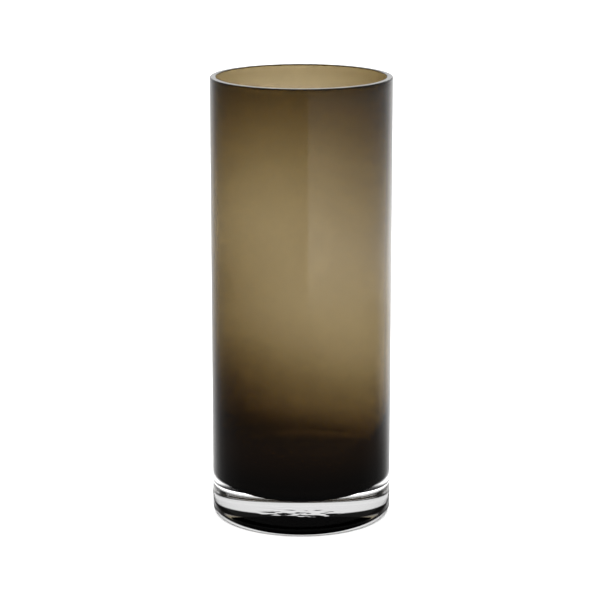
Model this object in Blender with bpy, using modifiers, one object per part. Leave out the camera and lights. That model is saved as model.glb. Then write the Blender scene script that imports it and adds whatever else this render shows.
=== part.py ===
"""A mouth-blown cased cylinder vase.

A bubble of smoky brown glass, open at the top, is cased in clear glass. The casing is
the outer wall, and under the bubble it runs together into a heavy clear base. The two
glasses are fused in the real vase. Here each is a solid of its own, and a narrow gap
stands for the joint between them.

The origin is at the middle of the foot, on the surface that the vase stands on. Metres.
"""

import math

import bpy

COLLECTION_NAME = "glass_cylinder_vase"

# The outside. The foot's edge is rounded by an oval that is taller than it is wide.
HEIGHT = 0.300
OUTER_RADIUS = 0.0607
RIM_EDGE = 0.0009
FOOT_EDGE_WIDTH = 0.0034
FOOT_EDGE_HEIGHT = 0.0062

# The hollow that holds the stems and water: a straight bore, and a long soft heel that
# draws it in to a small flat floor. HEEL_POWER is 2 for an oval and more for a squarer heel.
WALL = 0.00415
BASE = 0.0215
HEEL_WIDTH = 0.03655
HEEL_HEIGHT = 0.0685
HEEL_POWER = 2.5
MOUTH_EDGE = 0.0005

# The brown glass is thinnest at the middle of the wall. It thickens towards the rim,
# slowly down the wall, and then quickly round the heel, where the soft bubble settled.
# The middle of the floor is thinner again.
BROWN_AT_MIDDLE = 0.00080
BROWN_RIM_EXTRA = 0.00084
BROWN_LOW_EXTRA = 0.00123
BROWN_HEEL_EXTRA = 0.0023
BROWN_AT_FLOOR = 0.0032
RIM_FADE = 0.130
LOW_FADE = 0.096
HEEL_FADE = 0.036
LOW_FADE_START = 0.0175
RIM_FADE_POWER = 2.5
LOW_FADE_POWER = 1.6
HEEL_FADE_POWER = 1.6
FLOOR_FADE = 0.012

# The joint between the two glasses.
JOINT_GAP = 0.0003

# The underside: a flat foot ring round a shallow hollow.
FOOT_RING_WIDTH = 0.0040
PUNT_DEPTH = 0.0046

# How finely the turned outlines are divided.
TURNS = 60
FLOOR_STEPS = 3
HEEL_STEPS = 12
WALL_STEPS = 6
EDGE_STEPS = 2
FOOT_STEPS = 3
PUNT_STEPS = 5
MERGE_DISTANCE = 0.00002
SMOOTH_ANGLE = math.radians(32)

CLEAR_COLOUR = (0.93, 0.94, 0.93, 1.0)
BROWN_COLOUR = (0.16, 0.12, 0.07, 1.0)
GLASS_ROUGHNESS = 0.02
GLASS_IOR = 1.5


def clear_scene():
    for item in list(bpy.data.objects):
        bpy.data.objects.remove(item, do_unlink=True)


def ease(low, high, share):
    """Goes from low to high, level at both ends, as share goes from 0 to 1."""
    share = min(max(share, 0.0), 1.0)
    return low + (high - low) * 0.5 * (1.0 - math.cos(math.pi * share))


def curve(middle, width, height, start, end, steps):
    """Points on a round or oval curve about middle. Angles run from +X towards +Z."""
    points = []
    for step in range(steps + 1):
        angle = math.radians(start + (end - start) * step / steps)
        x = middle[0] + width * math.cos(angle)
        z = middle[1] + height * math.sin(angle)
        points.append((x, z))
    return points


def bore_radius():
    return OUTER_RADIUS - WALL


def floor_radius():
    return bore_radius() - HEEL_WIDTH


def heel_top():
    return BASE + HEEL_HEIGHT


def bore_outline():
    """The inside of the vase, from the middle of the floor to the rim."""
    outline = [(floor_radius() * step / FLOOR_STEPS, BASE) for step in range(FLOOR_STEPS)]
    for step in range(HEEL_STEPS + 1):
        angle = math.radians(90 * step / HEEL_STEPS)
        out = HEEL_WIDTH * math.sin(angle) ** (2.0 / HEEL_POWER)
        down = HEEL_HEIGHT * max(0.0, math.cos(angle)) ** (2.0 / HEEL_POWER)
        outline.append((floor_radius() + out, heel_top() - down))
    for step in range(1, WALL_STEPS + 1):
        outline.append((bore_radius(), heel_top() + (HEIGHT - heel_top()) * step / WALL_STEPS))
    return outline


def fade(distance, length, power):
    """Goes from 1 at no distance to 0 at the fade's length and beyond."""
    return max(0.0, 1.0 - max(0.0, distance) / length) ** power


def brown_thickness(radius, height):
    """How thick the brown glass is behind a point of the bore."""
    above = height - BASE
    wall = BROWN_AT_MIDDLE + BROWN_RIM_EXTRA * fade(HEIGHT - height, RIM_FADE, RIM_FADE_POWER)
    wall += BROWN_LOW_EXTRA * fade(above - LOW_FADE_START, LOW_FADE, LOW_FADE_POWER)
    wall += BROWN_HEEL_EXTRA * fade(above, HEEL_FADE, HEEL_FADE_POWER)
    return ease(BROWN_AT_FLOOR, wall, (radius - floor_radius()) / FLOOR_FADE)


def outward(outline, gap):
    """The outline moved out square to itself by the brown glass and a gap."""
    moved = []
    last = len(outline) - 1
    for place, (x, z) in enumerate(outline):
        before = outline[max(place - 1, 0)]
        after = outline[min(place + 1, last)]
        run = after[0] - before[0]
        rise = after[1] - before[1]
        length = math.hypot(run, rise)
        width = brown_thickness(x, z) + gap
        if place == 0:
            moved.append((0.0, z - width))
        elif place == last:
            moved.append((x + width, z))
        else:
            moved.append((x + width * rise / length, z - width * run / length))
    return moved


def colour_cup_outline():
    """The brown cup's outline, from the floor's middle up, over and down to the axis."""
    inside = bore_outline()
    mouth = (bore_radius() + MOUTH_EDGE, HEIGHT - MOUTH_EDGE)
    inside[-1:] = curve(mouth, MOUTH_EDGE, MOUTH_EDGE, 180, 90, EDGE_STEPS)
    outside = outward(bore_outline(), 0.0)
    return inside + outside[::-1]


def punt_outline():
    """The hollow underside, from the inner edge of the foot ring up to the axis."""
    ring_radius = OUTER_RADIUS - FOOT_EDGE_WIDTH - FOOT_RING_WIDTH
    outline = []
    for step in range(PUNT_STEPS + 1):
        radius = ring_radius * (1.0 - step / PUNT_STEPS)
        outline.append((radius, PUNT_DEPTH * (1.0 - (radius / ring_radius) ** 2)))
    return outline


def clear_casing_outline():
    """The clear casing's outline, from the cup's seat up, over and down to the axis."""
    seat = outward(bore_outline(), JOINT_GAP)
    rim = (OUTER_RADIUS - RIM_EDGE, HEIGHT - RIM_EDGE)
    foot = (OUTER_RADIUS - FOOT_EDGE_WIDTH, FOOT_EDGE_HEIGHT)
    wall = curve(rim, RIM_EDGE, RIM_EDGE, 90, 0, EDGE_STEPS)
    wall += curve(foot, FOOT_EDGE_WIDTH, FOOT_EDGE_HEIGHT, 0, -90, FOOT_STEPS)
    return seat + wall + punt_outline()


def glass(name, colour):
    material = bpy.data.materials.new(name)
    material.use_nodes = True
    shader = material.node_tree.nodes["Principled BSDF"]
    shader.inputs["Base Color"].default_value = colour
    shader.inputs["Roughness"].default_value = GLASS_ROUGHNESS
    shader.inputs["Metallic"].default_value = 0.0
    shader.inputs["IOR"].default_value = GLASS_IOR
    shader.inputs["Transmission Weight"].default_value = 1.0
    return material


def turned(name, outline, material, collection):
    """A turned solid: the outline swept once round the vase's axis."""
    mesh = bpy.data.meshes.new(name)
    points = [(x, 0.0, z) for x, z in outline]
    edges = [(place, place + 1) for place in range(len(points) - 1)]
    mesh.from_pydata(points, edges, [])
    mesh.materials.append(material)
    piece = bpy.data.objects.new(name, mesh)
    collection.objects.link(piece)
    screw = piece.modifiers.new("turn", "SCREW")
    screw.axis = "Z"
    screw.angle = math.tau
    screw.steps = TURNS
    screw.render_steps = TURNS
    screw.use_merge_vertices = True
    screw.merge_threshold = MERGE_DISTANCE
    screw.use_smooth_shade = True
    return piece


def smooth(piece):
    """Turns the sweep into a mesh and shades it smooth up to its sharp edges."""
    depsgraph = bpy.context.evaluated_depsgraph_get()
    made = bpy.data.meshes.new_from_object(piece.evaluated_get(depsgraph))
    piece.modifiers.clear()
    piece.data = made
    made.shade_smooth()
    made.set_sharp_from_angle(angle=SMOOTH_ANGLE)


def build():
    clear_scene()
    collection = bpy.data.collections.new(COLLECTION_NAME)
    bpy.context.scene.collection.children.link(collection)

    clear = glass("clear_glass", CLEAR_COLOUR)
    brown = glass("brown_glass", BROWN_COLOUR)
    casing = turned("clear_casing", clear_casing_outline(), clear, collection)
    cup = turned("colour_cup", colour_cup_outline(), brown, collection)
    for piece in (casing, cup):
        smooth(piece)


build()
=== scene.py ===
import math

import bpy
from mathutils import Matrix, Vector, noise


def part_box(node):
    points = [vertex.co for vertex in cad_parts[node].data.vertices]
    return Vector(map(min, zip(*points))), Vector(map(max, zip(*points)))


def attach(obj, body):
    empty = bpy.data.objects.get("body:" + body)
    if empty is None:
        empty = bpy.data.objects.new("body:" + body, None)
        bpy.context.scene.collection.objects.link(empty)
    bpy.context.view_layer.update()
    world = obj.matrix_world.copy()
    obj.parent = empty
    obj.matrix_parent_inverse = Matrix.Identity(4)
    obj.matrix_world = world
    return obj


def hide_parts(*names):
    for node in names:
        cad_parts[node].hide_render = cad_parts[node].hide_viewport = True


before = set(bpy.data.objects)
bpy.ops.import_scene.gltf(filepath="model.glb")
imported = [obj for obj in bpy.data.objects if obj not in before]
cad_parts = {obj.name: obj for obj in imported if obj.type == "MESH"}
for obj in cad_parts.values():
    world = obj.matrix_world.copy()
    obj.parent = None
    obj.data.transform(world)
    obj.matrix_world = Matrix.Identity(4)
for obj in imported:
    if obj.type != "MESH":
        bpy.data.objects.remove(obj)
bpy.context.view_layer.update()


# ---------------------------------------------------------------------------------------
# The clear casing. Clear soda glass gathered over the brown bubble and blown with it in a
# wet wooden mould: the vase's outer wall, and the heavy base under the bubble. The rim is
# cut and fire-polished, the foot is ground, and the underside keeps the iron's scar.

low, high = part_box("clear_casing")
HEIGHT = high.z
OUTER_RADIUS = high.x
WALL = 0.00415
BASE = 0.0215
HEEL_WIDTH = 0.03655
HEEL_HEIGHT = 0.0685
HEEL_POWER = 2.5
RIM_EDGE = 0.0009
MOUTH_EDGE = 0.0005
FOOT_EDGE_WIDTH = 0.0034
FOOT_EDGE_HEIGHT = 0.0062
FOOT_RING_WIDTH = 0.0040
PUNT_DEPTH = 0.0046
SCAR_RADIUS = 0.021
SCAR_DEPTH = 0.00016
SCAR_DETAIL = 150.0
TURNS = 192
FLOOR_STEPS = 10
HEEL_STEPS = 64
BORE_STEPS = 48
MOUTH_STEPS = 6
RIM_STEPS = 8
WALL_STEPS = 60
FOOT_STEPS = 24
PUNT_STEPS = 64

BORE_RADIUS = OUTER_RADIUS - WALL
FLOOR_RADIUS = BORE_RADIUS - HEEL_WIDTH
HEEL_TOP = BASE + HEEL_HEIGHT
RING_RADIUS = OUTER_RADIUS - FOOT_EDGE_WIDTH - FOOT_RING_WIDTH


def ease(first, last, share):
    """Goes from first to last, level at both ends, as share goes from 0 to 1."""
    share = min(max(share, 0.0), 1.0)
    return first + (last - first) * 0.5 * (1.0 - math.cos(math.pi * share))


def curve(middle, width, height, start, end, steps):
    """Points on a round or oval curve about middle. Angles run from outwards to upwards."""
    points = []
    for step in range(steps + 1):
        angle = math.radians(start + (end - start) * step / steps)
        x = middle[0] + width * math.cos(angle)
        z = middle[1] + height * math.sin(angle)
        points.append((x, z))
    return points


def line(start, end, steps):
    """Points on a straight line, without the first."""
    points = []
    for step in range(1, steps + 1):
        share = step / steps
        x = start[0] + (end[0] - start[0]) * share
        z = start[1] + (end[1] - start[1]) * share
        points.append((x, z))
    return points


def bore_outline():
    """The hollow, from the middle of its floor up to the rim."""
    outline = [(0.0, BASE)] + line((0.0, BASE), (FLOOR_RADIUS, BASE), FLOOR_STEPS)[:-1]
    for step in range(HEEL_STEPS + 1):
        angle = math.radians(90.0 * step / HEEL_STEPS)
        out = HEEL_WIDTH * math.sin(angle) ** (2.0 / HEEL_POWER)
        down = HEEL_HEIGHT * max(0.0, math.cos(angle)) ** (2.0 / HEEL_POWER)
        outline.append((FLOOR_RADIUS + out, HEEL_TOP - down))
    return outline + line((BORE_RADIUS, HEEL_TOP), (BORE_RADIUS, HEIGHT), BORE_STEPS)


def casing_outline(angle):
    """Up the hollow, over the rim, down the wall, round the foot and in to the axis."""
    mouth = (BORE_RADIUS + MOUTH_EDGE, HEIGHT - MOUTH_EDGE)
    rim = (OUTER_RADIUS - RIM_EDGE, HEIGHT - RIM_EDGE)
    foot = (OUTER_RADIUS - FOOT_EDGE_WIDTH, FOOT_EDGE_HEIGHT)
    outline = bore_outline()[:-1]
    outline += curve(mouth, MOUTH_EDGE, MOUTH_EDGE, 180, 90, MOUTH_STEPS)
    outline += curve(rim, RIM_EDGE, RIM_EDGE, 90, 0, RIM_STEPS)
    outline += line((OUTER_RADIUS, rim[1]), (OUTER_RADIUS, foot[1]), WALL_STEPS)[:-1]
    outline += curve(foot, FOOT_EDGE_WIDTH, FOOT_EDGE_HEIGHT, 0, -90, FOOT_STEPS)
    for radius, _ in line((RING_RADIUS, 0.0), (0.0, 0.0), PUNT_STEPS):
        outline.append((radius, PUNT_DEPTH * (1.0 - (radius / RING_RADIUS) ** 2)))
    return outline


def turned(name, outline_at, finish=None):
    """A closed mesh turned about the vase's axis. Its outlines start and end on the axis."""
    verts = []
    rings = []
    outlines = [outline_at(math.tau * turn / TURNS) for turn in range(TURNS)]
    for place, (radius, height) in enumerate(outlines[0]):
        ring = []
        for turn in range(TURNS if radius > 0.0 else 1):
            angle = math.tau * turn / TURNS
            r, z = outlines[turn][place]
            point = Vector((r * math.cos(angle), r * math.sin(angle), z))
            ring.append(len(verts))
            verts.append(finish(point) if finish else point)
        rings.append(ring)
    faces = []
    for one, two in zip(rings, rings[1:]):
        for turn in range(TURNS):
            after = (turn + 1) % TURNS
            if len(one) == 1:
                faces.append((one[0], two[turn], two[after]))
            elif len(two) == 1:
                faces.append((one[turn], two[0], one[after]))
            else:
                faces.append((one[turn], two[turn], two[after], one[after]))
    mesh = bpy.data.meshes.new(name)
    mesh.from_pydata(verts, [], faces)
    mesh.shade_smooth()
    piece = bpy.data.objects.new(name, mesh)
    bpy.context.scene.collection.objects.link(piece)
    return piece


def scarred(point):
    """Roughens the middle of the underside, where the iron was broken off and ground."""
    radius = math.hypot(point.x, point.y)
    if point.z < BASE * 0.5 and radius < SCAR_RADIUS:
        rough = math.sqrt(1.0 - (radius / SCAR_RADIUS) ** 2)
        point.z += SCAR_DEPTH * rough * noise.fractal(point * SCAR_DETAIL, 1.0, 2.0, 3)
    return point


# Brown glass takes light away by its thickness, a little more green and much more blue
# than red. BROWN_LOSS is the share lost in a millimetre, as a power of e.
BROWN_LOSS = (1.18, 1.35, 1.77)
WALL_SHARE = 0.25
BROWN_AT_MIDDLE = 0.83
BROWN_RIM_EXTRA = 0.84
BROWN_LOW_EXTRA = 1.23
BROWN_HEEL_EXTRA = 2.3
RIM_FADE = 0.130
LOW_FADE = 0.096
HEEL_FADE = 0.036
LOW_FADE_START = BASE + 0.0175
RIM_FADE_POWER = 2.5
LOW_FADE_POWER = 1.6
HEEL_FADE_POWER = 1.6


def new_group(name, inputs, outputs):
    """An empty node group with number inputs, each with its default, and the outputs."""
    tree = bpy.data.node_groups.new(name, "ShaderNodeTree")
    for label, value in inputs.items():
        socket = tree.interface.new_socket(label, in_out="INPUT", socket_type="NodeSocketFloat")
        socket.default_value = value
    for label, kind in outputs.items():
        tree.interface.new_socket(label, in_out="OUTPUT", socket_type=kind)
    return tree, tree.nodes.new("NodeGroupInput"), tree.nodes.new("NodeGroupOutput")


def put(tree, socket, value):
    """Links value to the socket if it is another socket, or sets it as a number."""
    if isinstance(value, bpy.types.NodeSocket):
        tree.links.new(value, socket)
    else:
        socket.default_value = value


def sum_of(tree, operation, *values):
    """One step of arithmetic on sockets and numbers."""
    node = tree.nodes.new("ShaderNodeMath")
    node.operation = operation
    for socket, value in zip(node.inputs, values):
        put(tree, socket, value)
    return node.outputs[0]


def between(tree, value, start, end, first=0.0, last=1.0, smooth=False):
    """Goes from first at start to last at end, and no further."""
    node = tree.nodes.new("ShaderNodeMapRange")
    node.interpolation_type = "SMOOTHSTEP" if smooth else "LINEAR"
    put(tree, node.inputs["Value"], value)
    limits = {"From Min": start, "From Max": end, "To Min": first, "To Max": last}
    for label, number in limits.items():
        put(tree, node.inputs[label], number)
    return node.outputs["Result"]


def place_on(tree):
    """How far a point is from the axis, and how high it is above the foot."""
    where = tree.nodes.new("ShaderNodeTexCoord")
    split = tree.nodes.new("ShaderNodeSeparateXYZ")
    tree.links.new(where.outputs["Object"], split.inputs[0])
    across = sum_of(tree, "POWER", split.outputs["X"], 2.0)
    across = sum_of(tree, "ADD", across, sum_of(tree, "POWER", split.outputs["Y"], 2.0))
    return sum_of(tree, "SQRT", across), split.outputs["Z"], where.outputs["Object"]


def brown_tint_group():
    """The colour that light keeps after a share of the brown glass at a height."""
    inputs = {"Height": 0.0, "Share": 1.0}
    tree, given, made = new_group("brown_tint", inputs, {"Colour": "NodeSocketColor"})
    height = given.outputs["Height"]
    fades = (
        (HEIGHT, HEIGHT - RIM_FADE, BROWN_RIM_EXTRA, RIM_FADE_POWER),
        (LOW_FADE_START, LOW_FADE_START + LOW_FADE, BROWN_LOW_EXTRA, LOW_FADE_POWER),
        (BASE, BASE + HEEL_FADE, BROWN_HEEL_EXTRA, HEEL_FADE_POWER),
    )
    thickness = BROWN_AT_MIDDLE
    for start, end, extra, power in fades:
        share = sum_of(tree, "POWER", between(tree, height, start, end, 1.0, 0.0), power)
        thickness = sum_of(tree, "MULTIPLY_ADD", share, extra, thickness)
    thickness = sum_of(tree, "MULTIPLY", thickness, given.outputs["Share"])
    join = tree.nodes.new("ShaderNodeCombineColor")
    for socket, loss in zip(join.inputs, BROWN_LOSS):
        kept = sum_of(tree, "EXPONENT", sum_of(tree, "MULTIPLY", thickness, -loss))
        tree.links.new(kept, socket)
    tree.links.new(join.outputs[0], made.inputs["Colour"])
    return tree


def cords_group():
    """Faint upright streaks, where the glass in the gather wasn't quite even."""
    inputs = {"Depth": 0.05, "Detail": 55.0, "Stretch": 0.05}
    tree, given, made = new_group("glass_cords", inputs, {"Value": "NodeSocketFloat"})
    where = tree.nodes.new("ShaderNodeTexCoord")
    shape = tree.nodes.new("ShaderNodeCombineXYZ")
    shape.inputs["X"].default_value = 1.0
    shape.inputs["Y"].default_value = 1.0
    tree.links.new(given.outputs["Stretch"], shape.inputs["Z"])
    scale = tree.nodes.new("ShaderNodeVectorMath")
    scale.operation = "MULTIPLY"
    tree.links.new(where.outputs["Object"], scale.inputs[0])
    tree.links.new(shape.outputs[0], scale.inputs[1])
    streaks = tree.nodes.new("ShaderNodeTexNoise")
    streaks.inputs["Detail"].default_value = 2.0
    tree.links.new(scale.outputs[0], streaks.inputs["Vector"])
    tree.links.new(given.outputs["Detail"], streaks.inputs["Scale"])
    swing = sum_of(tree, "SUBTRACT", streaks.outputs["Fac"], 0.5)
    tree.links.new(sum_of(tree, "MULTIPLY_ADD", swing, given.outputs["Depth"], 1.0), made.inputs["Value"])
    return tree


def use(tree, group, **values):
    """Puts a node group in the tree, and sets or links its inputs."""
    node = tree.nodes.new("ShaderNodeGroup")
    node.node_tree = group
    for label, value in values.items():
        put(tree, node.inputs[label], value)
    return node.outputs[0]


def glass(name, ior):
    """A glass material, with its node tree and its shader."""
    material = bpy.data.materials.new(name)
    material.use_nodes = True
    shader = material.node_tree.nodes["Principled BSDF"]
    shader.inputs["Metallic"].default_value = 0.0
    shader.inputs["IOR"].default_value = ior
    shader.inputs["Transmission Weight"].default_value = 1.0
    return material, material.node_tree, shader


BROWN_TINT = brown_tint_group()
CORDS = cords_group()
CLEAR_IOR = 1.5
CASING_CORDS = 0.08
CORD_STRETCH = 0.01
# The outer wall's share of the brown starts at this depth of wall, and above the base.
TINT_DEPTH = 0.0012
TINT_FULL_DEPTH = 0.0006
TINT_BOTTOM = 0.0300
TINT_FULL_HEIGHT = 0.0345
# The floor of the hollow carries a share too, so that the base looks filled from above.
FLOOR_SHARE = 0.5
FLOOR_TINT_EDGE = 0.0002
FLOOR_TINT_START = 0.020
FLOOR_TINT_FULL = 0.024
FLOOR_TINT_FADE = 0.030
FLOOR_TINT_END = 0.040
# Painted shade: the two rounded edges of the rim get extra brown tint, a thin dark line standing in for
# light bent away there.
RIM_EDGE_PAINTED_SHADE = 1.1
EDGE_REACH = 1.6
EDGE_FULL = 0.5
RIM_GROUND_DEPTH = 0.0004
RIM_ROUGHNESS = 0.06
RIM_GRAIN = 900.0


def clear_glass():
    """Clear, with the share of the brown that it carries, painted shade on the rim edges and a ground
    rim.
    """
    material, tree, shader = glass("clear_glass", CLEAR_IOR)
    radius, height, _ = place_on(tree)
    outside = between(tree, radius, OUTER_RADIUS - TINT_DEPTH, OUTER_RADIUS - TINT_FULL_DEPTH)
    above = between(tree, height, TINT_BOTTOM, TINT_FULL_HEIGHT, smooth=True)
    cast = sum_of(tree, "MULTIPLY", sum_of(tree, "MULTIPLY", outside, above), 2.0 * WALL_SHARE)
    under = between(tree, height, FLOOR_TINT_END, FLOOR_TINT_FADE, smooth=True)
    hollow = between(tree, radius, BORE_RADIUS + FLOOR_TINT_EDGE, BORE_RADIUS)
    floored = between(tree, height, FLOOR_TINT_START, FLOOR_TINT_FULL)
    hollow = sum_of(tree, "MULTIPLY", hollow, floored)
    cast = sum_of(tree, "MULTIPLY_ADD", sum_of(tree, "MULTIPLY", hollow, under), FLOOR_SHARE, cast)
    streaks = use(tree, CORDS, Depth=CASING_CORDS, Stretch=CORD_STRETCH)
    cast = sum_of(tree, "MULTIPLY", cast, streaks)
    # Painted shade: the masks below add tint to the rim's two rounded edges, a dark line for light bent
    # away.
    edge = between(tree, radius, OUTER_RADIUS - RIM_EDGE, OUTER_RADIUS - RIM_EDGE * EDGE_FULL)
    high_up = between(tree, height, HEIGHT - RIM_EDGE * EDGE_REACH, HEIGHT - RIM_EDGE)
    edge = sum_of(tree, "MULTIPLY", edge, high_up)
    lip = between(tree, radius, BORE_RADIUS + MOUTH_EDGE, BORE_RADIUS + MOUTH_EDGE * EDGE_FULL)
    high_up = between(tree, height, HEIGHT - MOUTH_EDGE * EDGE_REACH, HEIGHT - MOUTH_EDGE)
    lip = sum_of(tree, "MULTIPLY", lip, high_up)
    cast = sum_of(tree, "MULTIPLY_ADD", sum_of(tree, "MAXIMUM", edge, lip), RIM_EDGE_PAINTED_SHADE, cast)
    tree.links.new(use(tree, BROWN_TINT, Height=height, Share=cast), shader.inputs["Base Color"])
    rim = between(tree, height, HEIGHT - RIM_GROUND_DEPTH, HEIGHT)
    grain = tree.nodes.new("ShaderNodeTexNoise")
    grain.inputs["Scale"].default_value = RIM_GRAIN
    rim = sum_of(tree, "MULTIPLY", rim, RIM_ROUGHNESS)
    rough = sum_of(tree, "MULTIPLY", rim, grain.outputs["Fac"])
    tree.links.new(rough, shader.inputs["Roughness"])
    return material


casing = turned("clear_casing_glass", casing_outline, scarred)
casing.data.materials.append(clear_glass())
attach(casing, "root")
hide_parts("clear_casing")


# ---------------------------------------------------------------------------------------
# The brown cup. The bubble of smoky brown glass that was blown first and lines the whole
# hollow: thin in the wall, thicker at the rim, and a thick lens under the floor. It is
# fused to the casing, so no light bends between the two.

BROWN_AT_FLOOR = 3.2
FLOOR_FADE = 0.012
LEAN = 0.31
LEAN_TOP = 0.160
TILT_LOW = -0.17
TILT_HIGH = 0.10
TILT_START = 0.140
TILT_END = 0.215
SKIN = 0.00003
RIM_DROP = 0.0001
CUP_CORDS = -0.05
CUP_CORD_DETAIL = 40.0
BROWN_DENSITY = 2000.0
# Painted light: the cup gives off a dim amber glow in a band above the base, an emission standing in for
# light from the paper caught in the thick heel.
PAINTED_GLOW = (0.0080, 0.0046, 0.0026)
PAINTED_GLOW_LOW = 0.018
PAINTED_GLOW_MIDDLE = 0.055
PAINTED_GLOW_HIGH = 0.078


def fade(distance, length, power):
    """Goes from 1 at no distance to 0 at the fade's length and beyond."""
    return max(0.0, 1.0 - max(0.0, distance) / length) ** power


def brown_thickness(radius, height, aside):
    """Behind a point of the hollow. The bubble hung a little to one side, so it leans.

    The lean lowers the thick heel on that side, and the tilt evens it out near the rim.
    """
    lean = LEAN * aside * ease(1.0, 0.0, (height - HEEL_TOP) / (LEAN_TOP - HEEL_TOP))
    lean *= ease(0.0, 1.0, (height - BASE) / (HEEL_TOP - BASE) * 2.0)
    level = height + lean
    wall = BROWN_AT_MIDDLE + BROWN_RIM_EXTRA * fade(HEIGHT - height, RIM_FADE, RIM_FADE_POWER)
    wall += BROWN_LOW_EXTRA * fade(level - LOW_FADE_START, LOW_FADE, LOW_FADE_POWER)
    wall += BROWN_HEEL_EXTRA * fade(level - BASE, HEEL_FADE, HEEL_FADE_POWER)
    tilt = ease(TILT_LOW, TILT_HIGH, (height - TILT_START) / (TILT_END - TILT_START))
    wall *= 1.0 + tilt * aside / BORE_RADIUS * ease(0.0, 1.0, (height - BASE) / (HEEL_TOP - BASE))
    return ease(BROWN_AT_FLOOR, wall, (radius - FLOOR_RADIUS) / FLOOR_FADE) * 0.001


def cup_outline(angle):
    """The hollow's own outline, then back along the outer side of the brown glass."""
    bore = bore_outline()
    inner = []
    outer = []
    for place, (x, z) in enumerate(bore):
        before = bore[max(place - 1, 0)]
        after = bore[min(place + 1, len(bore) - 1)]
        run = after[0] - before[0]
        rise = after[1] - before[1]
        length = math.hypot(run, rise)
        away = (rise / length, -run / length) if 0 < place < len(bore) - 1 else (1.0, 0.0)
        if place == 0:
            away = (0.0, -1.0)
        width = brown_thickness(x, z, x * math.cos(angle))
        inner.append((x + away[0] * SKIN, z + away[1] * SKIN))
        outer.append((x + away[0] * width, z + away[1] * width))
    top = HEIGHT - RIM_DROP
    inner[-1] = (inner[-1][0] + MOUTH_EDGE * 0.5, top)
    outer[-1] = (outer[-1][0], top)
    return inner + outer[::-1]


def brown_glass():
    """Brown right through. Its skin has faint cords, the colour is in its depth, and a band above the
    base carries a painted amber glow.
    """
    material, tree, shader = glass("brown_glass", 1.0)
    shader.inputs["Roughness"].default_value = 0.0
    even = use(tree, CORDS, Depth=CUP_CORDS, Detail=CUP_CORD_DETAIL, Stretch=CORD_STRETCH)
    skin = tree.nodes.new("ShaderNodeCombineColor")
    for socket in skin.inputs:
        tree.links.new(even, socket)
    tree.links.new(skin.outputs[0], shader.inputs["Base Color"])
    _, height, _ = place_on(tree)
    # Painted glow: a band of amber emission on the cup, light painted in where there is no lamp.
    painted_glow_band = between(tree, height, PAINTED_GLOW_LOW, PAINTED_GLOW_MIDDLE, smooth=True)
    fading = between(tree, height, PAINTED_GLOW_HIGH, PAINTED_GLOW_MIDDLE, smooth=True)
    painted_glow_band = sum_of(tree, "MULTIPLY", painted_glow_band, fading)
    painted_amber_glow = tree.nodes.new("ShaderNodeCombineColor")
    for socket, amount in zip(painted_amber_glow.inputs, PAINTED_GLOW):
        tree.links.new(sum_of(tree, "MULTIPLY", painted_glow_band, amount), socket)
    tree.links.new(painted_amber_glow.outputs[0], shader.inputs["Emission Color"])
    shader.inputs["Emission Strength"].default_value = 1.0
    kept = [1.0 - loss * 1000.0 / BROWN_DENSITY for loss in BROWN_LOSS]
    depth = tree.nodes.new("ShaderNodeVolumeAbsorption")
    depth.inputs["Color"].default_value = (*kept, 1.0)
    depth.inputs["Density"].default_value = BROWN_DENSITY * (1.0 - WALL_SHARE)
    tree.links.new(depth.outputs["Volume"], tree.nodes["Material Output"].inputs["Volume"])
    return material


cup = turned("brown_cup", cup_outline)
cup.data.materials.append(brown_glass())
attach(cup, "root")
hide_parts("colour_cup")


# ---------------------------------------------------------------------------------------
# The studio floor. A seamless white paper sweep. What shines up through the glass is the
# lit paper further off. The paper close round the foot is in the vase's own shade, with
# a lit rim and then a darker ring, where the base bends the light away from it.

FLOOR_SPREAD = 30.0
FLOOR_CORNERS = 96
PAPER_WHITE = (0.9, 0.9, 0.9, 1.0)
SHADE_COLOUR = (0.0055, 0.005, 0.005, 1.0)
SHADE_RADIUS = 0.0605
SHADE_EDGE = 0.0690
RING_START = 0.0690
RING_FULL = 0.0750
RING_FADE = 0.0797
RING_END = 0.0818


def white_paper():
    """Paper to the eye. Seen in the glass, it is the studio's light with the vase's shade."""
    paper = bpy.data.materials.new("white_paper")
    paper.use_nodes = True
    tree = paper.node_tree
    sheet = tree.nodes["Principled BSDF"]
    sheet.inputs["Base Color"].default_value = PAPER_WHITE
    sheet.inputs["Roughness"].default_value = 1.0
    sheet.inputs["Specular IOR Level"].default_value = 0.0
    path = tree.nodes.new("ShaderNodeLightPath")
    through, glossy = path.outputs["Is Transmission Ray"], path.outputs["Is Glossy Ray"]
    seen_in_glass = sum_of(tree, "MAXIMUM", through, glossy)
    radius, _, _ = place_on(tree)
    shade = tree.nodes.new("ShaderNodeEmission")
    shade.inputs["Color"].default_value = SHADE_COLOUR
    open_paper = tree.nodes.new("ShaderNodeBsdfTransparent")
    ring = between(tree, radius, RING_START, RING_FULL, smooth=True)
    ring = sum_of(tree, "MULTIPLY", ring, between(tree, radius, RING_END, RING_FADE, smooth=True))
    lit = between(tree, radius, SHADE_RADIUS, SHADE_EDGE, smooth=True)
    near = tree.nodes.new("ShaderNodeMixShader")
    put(tree, near.inputs[0], sum_of(tree, "SUBTRACT", lit, ring))
    put(tree, near.inputs[1], shade.outputs[0])
    put(tree, near.inputs[2], open_paper.outputs[0])
    whole = tree.nodes.new("ShaderNodeMixShader")
    put(tree, whole.inputs[0], seen_in_glass)
    put(tree, whole.inputs[1], sheet.outputs[0])
    put(tree, whole.inputs[2], near.outputs[0])
    put(tree, tree.nodes["Material Output"].inputs["Surface"], whole.outputs[0])
    return paper


bpy.ops.mesh.primitive_circle_add(vertices=FLOOR_CORNERS, radius=FLOOR_SPREAD, fill_type="NGON")
floor = bpy.context.object
floor.name = "studio_floor"
floor.data.materials.append(white_paper())


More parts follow.
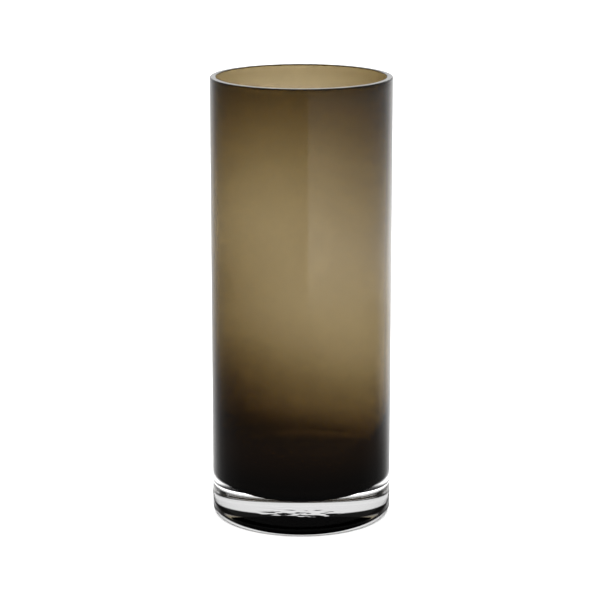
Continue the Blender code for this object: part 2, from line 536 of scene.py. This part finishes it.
# ---------------------------------------------------------------------------------------
# The studio's light. A white surround: the sweep behind glows through the glass, the room
# in front is dim, and a wide soft light to the right lies along the wall as a pale veil.

PAPER_GLOW = 2.2
SURROUND = 1.15
ROOM_LIGHT = 2.4
MIRROR_LIGHT = 1.33

# Each run of light is a list of places, from -1 to 1 along a direction, with an amount.
# What comes through the glass, by how far up it comes from: the paper, the wall, a dark
# gap and the ceiling.
THROUGH = [(-1, 1), (-0.02, 1), (0.03, 0.36), (0.395, 0.36)]
THROUGH += [(0.42, 0.003), (0.54, 0.003), (0.58, 0.40), (1, 0.40)]
# What the glass mirrors, by how far behind the vase it comes from.
MIRROR = [(-1, 0.06), (-0.1, 0.06), (0.39, 0.09), (0.59, 0.15), (0.74, 0.32), (0.87, 0.60), (1, 0.80)]
# The soft light and its lower side part, by height.
SOFT = [(-1, 0), (-0.245, 0), (-0.215, 0.92), (-0.163, 0.40), (-0.10, 0.15), (1, 0.15)]
SIDE = [(-1, 0), (-0.30, 0), (-0.262, 0.5), (-0.235, 0.42), (-0.215, 0.08), (-0.163, 0), (1, 0)]

# The soft light stands from SOFT_LEFT to SOFT_RIGHT, as turns to the right of straight
# behind the camera. Its left edge is sharp and its right edge fades away.
SOFT_LEFT = math.radians(7.4)
SOFT_LEFT_FADE = 0.02
SOFT_RIGHT = math.radians(174.0)
SOFT_RIGHT_FADE = 0.42
SIDE_START = math.radians(108.0)
SIDE_FULL = math.radians(126.0)


def ramp(tree, value, stops):
    """Follows straight lines through the stops, which run from -1 to 1."""
    node = tree.nodes.new("ShaderNodeFloatCurve")
    points = node.mapping.curves[0].points
    while len(points) < len(stops):
        points.new(0.5, 0.5)
    for point, (place, amount) in zip(points, stops):
        point.location = (place * 0.5 + 0.5, amount)
        point.handle_type = "VECTOR"
    node.mapping.update()
    tree.links.new(sum_of(tree, "MULTIPLY_ADD", value, 0.5, 0.5), node.inputs["Value"])
    return node.outputs[0]


def mirrored(tree, way):
    """How bright the room looks in the glass, in a direction."""
    mirror = sum_of(tree, "MULTIPLY", ramp(tree, way.outputs["Y"], MIRROR), MIRROR_LIGHT)
    ahead = sum_of(tree, "MULTIPLY", way.outputs["Y"], -1.0)
    turn = sum_of(tree, "ARCTAN2", way.outputs["X"], ahead)
    fading = between(tree, turn, SOFT_RIGHT, SOFT_RIGHT - SOFT_RIGHT_FADE)
    soft = between(tree, turn, SOFT_LEFT, SOFT_LEFT + SOFT_LEFT_FADE)
    soft = sum_of(tree, "MULTIPLY", soft, fading)
    soft = sum_of(tree, "MULTIPLY", soft, ramp(tree, way.outputs["Z"], SOFT))
    side = ramp(tree, way.outputs["Z"], SIDE)
    side = sum_of(tree, "MULTIPLY", side, between(tree, turn, SIDE_START, SIDE_FULL))
    side = sum_of(tree, "MULTIPLY", side, fading)
    return sum_of(tree, "ADD", mirror, sum_of(tree, "ADD", soft, side))


def studio():
    """A world with one light for what comes through, one for mirrors and one for the rest."""
    world = bpy.data.worlds.new("studio")
    world.use_nodes = True
    tree = world.node_tree
    back = tree.nodes["Background"]
    back.inputs["Color"].default_value = (1.0, 1.0, 1.0, 1.0)
    where = tree.nodes.new("ShaderNodeTexCoord")
    way = tree.nodes.new("ShaderNodeSeparateXYZ")
    tree.links.new(where.outputs["Generated"], way.inputs[0])
    through = sum_of(tree, "MULTIPLY", ramp(tree, way.outputs["Z"], THROUGH), PAPER_GLOW)
    mirror = mirrored(tree, way)
    path = tree.nodes.new("ShaderNodeLightPath")
    is_through = path.outputs["Is Transmission Ray"]
    is_plain = sum_of(tree, "SUBTRACT", 1.0, is_through)
    is_mirror = sum_of(tree, "MULTIPLY", path.outputs["Is Glossy Ray"], is_plain)
    is_other = sum_of(tree, "SUBTRACT", 1.0, sum_of(tree, "MAXIMUM", is_mirror, is_through))
    other = between(tree, path.outputs["Is Camera Ray"], 0.0, 1.0, ROOM_LIGHT, SURROUND)
    strength = sum_of(tree, "MULTIPLY", is_through, through)
    strength = sum_of(tree, "MULTIPLY_ADD", is_mirror, mirror, strength)
    strength = sum_of(tree, "MULTIPLY_ADD", is_other, other, strength)
    tree.links.new(strength, back.inputs["Strength"])
    return world


scene = bpy.context.scene
scene.world = studio()
scene.view_settings.view_transform = "Standard"
scene.cycles.max_bounces = 32
scene.cycles.transmission_bounces = 32
scene.cycles.glossy_bounces = 16
scene.cycles.transparent_max_bounces = 32


# ---------------------------------------------------------------------------------------
# The camera. A long lens at table height, looking down a little on the vase.

camera_data = bpy.data.cameras.new("camera")
camera = bpy.data.objects.new("camera", camera_data)
scene.collection.objects.link(camera)
camera_data.sensor_width = 36.0
camera_data.lens = 137.54
camera.location = (-0.0009, -1.505, 0.5132)
camera.rotation_euler = (math.radians(90.0 - 13.647), 0.0, 0.0)
scene.camera = camera
